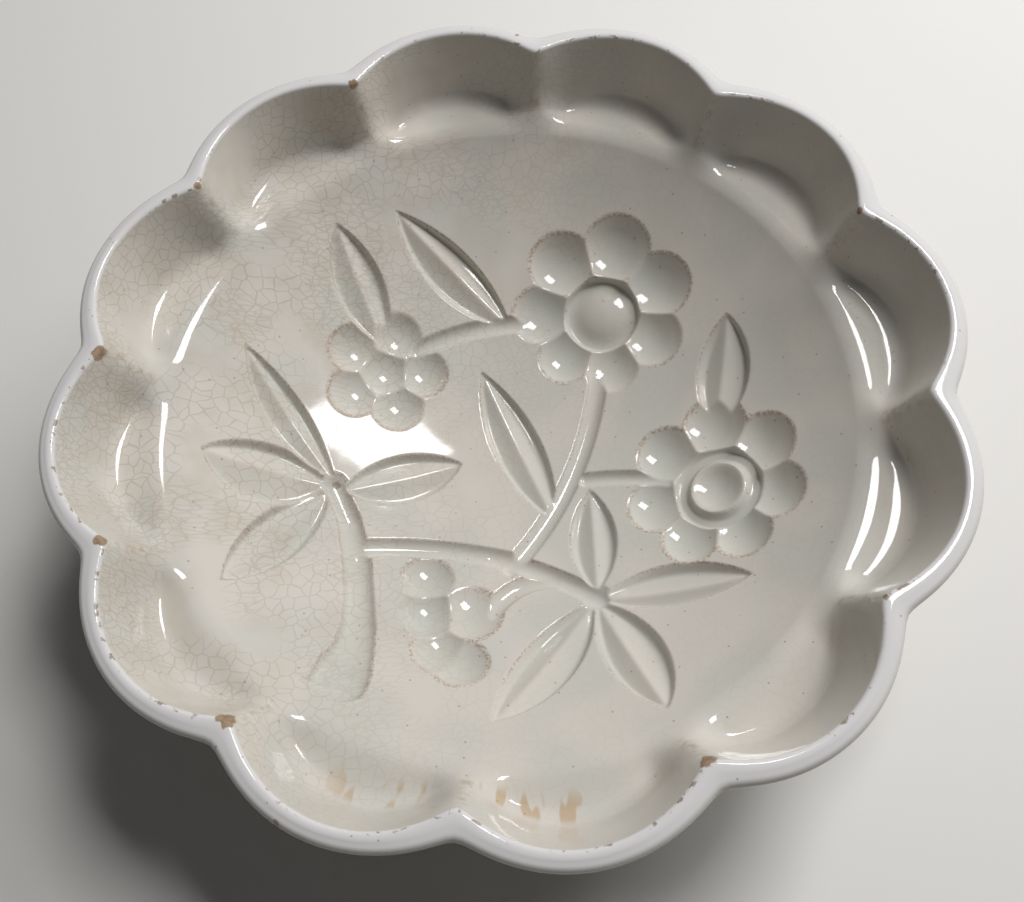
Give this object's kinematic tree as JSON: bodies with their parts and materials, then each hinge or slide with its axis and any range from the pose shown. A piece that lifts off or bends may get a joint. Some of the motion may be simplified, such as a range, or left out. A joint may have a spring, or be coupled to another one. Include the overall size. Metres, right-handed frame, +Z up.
{
  "type": "earthenware baking mould",
  "caption": "Round glazed earthenware mould with fluted sides and a scalloped rim, for cakes, jellies or puddings, with a flower sprig sunk into the bowl's floor.",
  "frame": {"origin": "on the table, under the middle of the foot ring", "axes": "+Z up along the mould's axis towards the rim, +X through the middle of a lobe, +Y through the middle of a lobe"},
  "size_m": [0.238, 0.238, 0.068],
  "materials": {
    "glaze": "glossy ivory glaze over buff earthenware, finely crazed, with caramel stains and small chips at the inner rim"
  },
  "bodies": {
    "root": {"mould": "glaze"}
  },
  "joints": []
}
